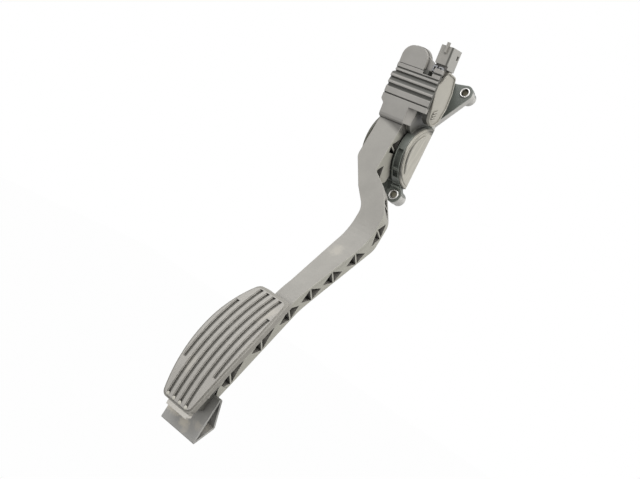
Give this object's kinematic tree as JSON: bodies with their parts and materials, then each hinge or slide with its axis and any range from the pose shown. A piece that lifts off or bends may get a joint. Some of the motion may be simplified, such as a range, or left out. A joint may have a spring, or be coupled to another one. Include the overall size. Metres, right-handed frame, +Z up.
{
  "type": "accelerator pedal",
  "caption": "Hanging accelerator pedal with a cranked truss arm, grooved tread, ribbed hood, position sensor with connector inlet, and a bulkhead housing with bolt lugs.",
  "frame": {"origin": "centre of the rest pad on the mounting face, level with the pivot and in the middle of the slot that the arm swings in", "axes": "+Z up, +Y out of the mounting face towards the bulkhead, +X to the right as seen by the driver"},
  "size_m": [0.0729, 0.1488, 0.3805],
  "materials": {
    "housing_plastic": "matte dark moulding with a green tinge",
    "bush_steel": "turned bright steel",
    "cover_plastic": "light grey moulding",
    "hood_plastic": "fine matte grain",
    "sensor_plastic": "smooth moulding",
    "board": "coated board",
    "terminal_metal": "tinned contacts",
    "spring_steel": "drawn wire",
    "stop_rubber": "soft black rubber",
    "arm_plastic": "fine matte grain",
    "tread_plastic": "worn matte grain",
    "heel_plastic": "fine matte grain",
    "bearing_plastic": "natural low-friction plastic",
    "magnet_iron": "sintered"
  },
  "bodies": {
    "housing_body": {"housing": "housing_plastic", "upper_mount_bush": "bush_steel", "lower_mount_bush": "bush_steel", "side_cover": "cover_plastic", "front_hood": "hood_plastic", "sensor_housing": "sensor_plastic", "sensor_cover": "cover_plastic", "circuit_board": "board", "terminals": "terminal_metal", "pivot_shaft": "bush_steel", "spring_seat": "housing_plastic", "outer_spring": "spring_steel", "inner_spring": "spring_steel", "idle_stop": "stop_rubber", "full_stop": "stop_rubber"},
    "pedal_body": {"pedal_arm": "arm_plastic", "tread_pad": "tread_plastic", "heel_stop": "heel_plastic", "hub_bush_left": "bearing_plastic", "hub_bush_right": "bearing_plastic", "friction_shoe": "bearing_plastic", "magnet_carrier": "housing_plastic", "magnet": "magnet_iron"}
  },
  "joints": [
    {"name": "pedal_pivot", "type": "hinge", "parent": "housing_body", "child": "pedal_body", "pos_m": [0, -0.037, 0], "axis": [1, 0, 0], "range_deg": [0, 11], "stiffness_Nm_per_rad": 12, "springref_deg": -11.46, "deforming": ["outer_spring", "inner_spring"]}
  ]
}
